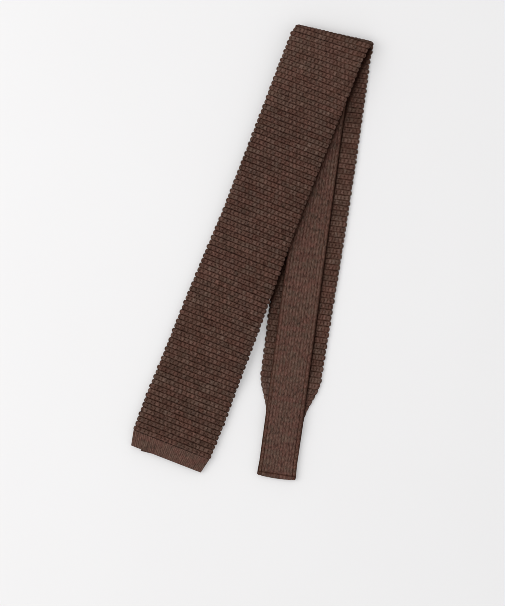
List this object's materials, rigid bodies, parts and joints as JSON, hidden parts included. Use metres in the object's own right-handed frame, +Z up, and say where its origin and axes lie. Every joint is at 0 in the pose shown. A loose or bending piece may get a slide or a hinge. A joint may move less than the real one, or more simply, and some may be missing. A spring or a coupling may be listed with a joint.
{
  "type": "knit tie",
  "caption": "Flattened knitted tube tie, folded in four: wide ridged blade with a square plain hem, narrow plain neck band and ridged tail.",
  "frame": {"origin": "on the surface that the folded tie lies on, under the middle of its outline", "axes": "+Z up from the surface, +Y towards the top fold along the length of the folded tie, +X to the right when it is seen from above with the top fold away"},
  "size_m": [0.194, 0.3646, 0.0163],
  "materials": {
    "ridged_knit": "chunky ridged knit in dark brown marled wool yarn, matt, with a little loose fibre",
    "plain_knit": "fine plain jersey in the same dark brown marled wool, matt"
  },
  "bodies": {
    "root": {"blade": "ridged_knit", "blade_hem": "plain_knit", "neck_band": "plain_knit", "tail": "ridged_knit", "tail_hem": "plain_knit"}
  },
  "joints": []
}
